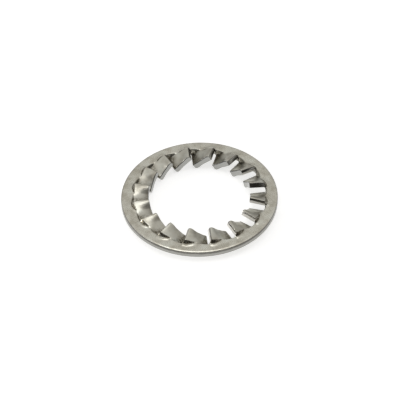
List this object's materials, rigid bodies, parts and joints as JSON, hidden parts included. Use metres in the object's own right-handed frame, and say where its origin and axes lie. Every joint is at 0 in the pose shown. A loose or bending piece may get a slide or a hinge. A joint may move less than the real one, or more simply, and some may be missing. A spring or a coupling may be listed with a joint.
{
  "type": "toothed lock washer",
  "caption": "Flat round steel washer whose bore is ringed with slotted, twisted teeth that bite into a nut and its seat.",
  "frame": {"origin": "centre of the bore, halfway through the ring's thickness", "axes": "+Z along the bore, out of the face with the rolled edge; one tooth lies on +X"},
  "size_m": [0.033, 0.033, 0.0036],
  "materials": {
    "steel": "tumbled satin stainless strip"
  },
  "bodies": {
    "root": {"lock_washer": "steel"}
  },
  "joints": []
}
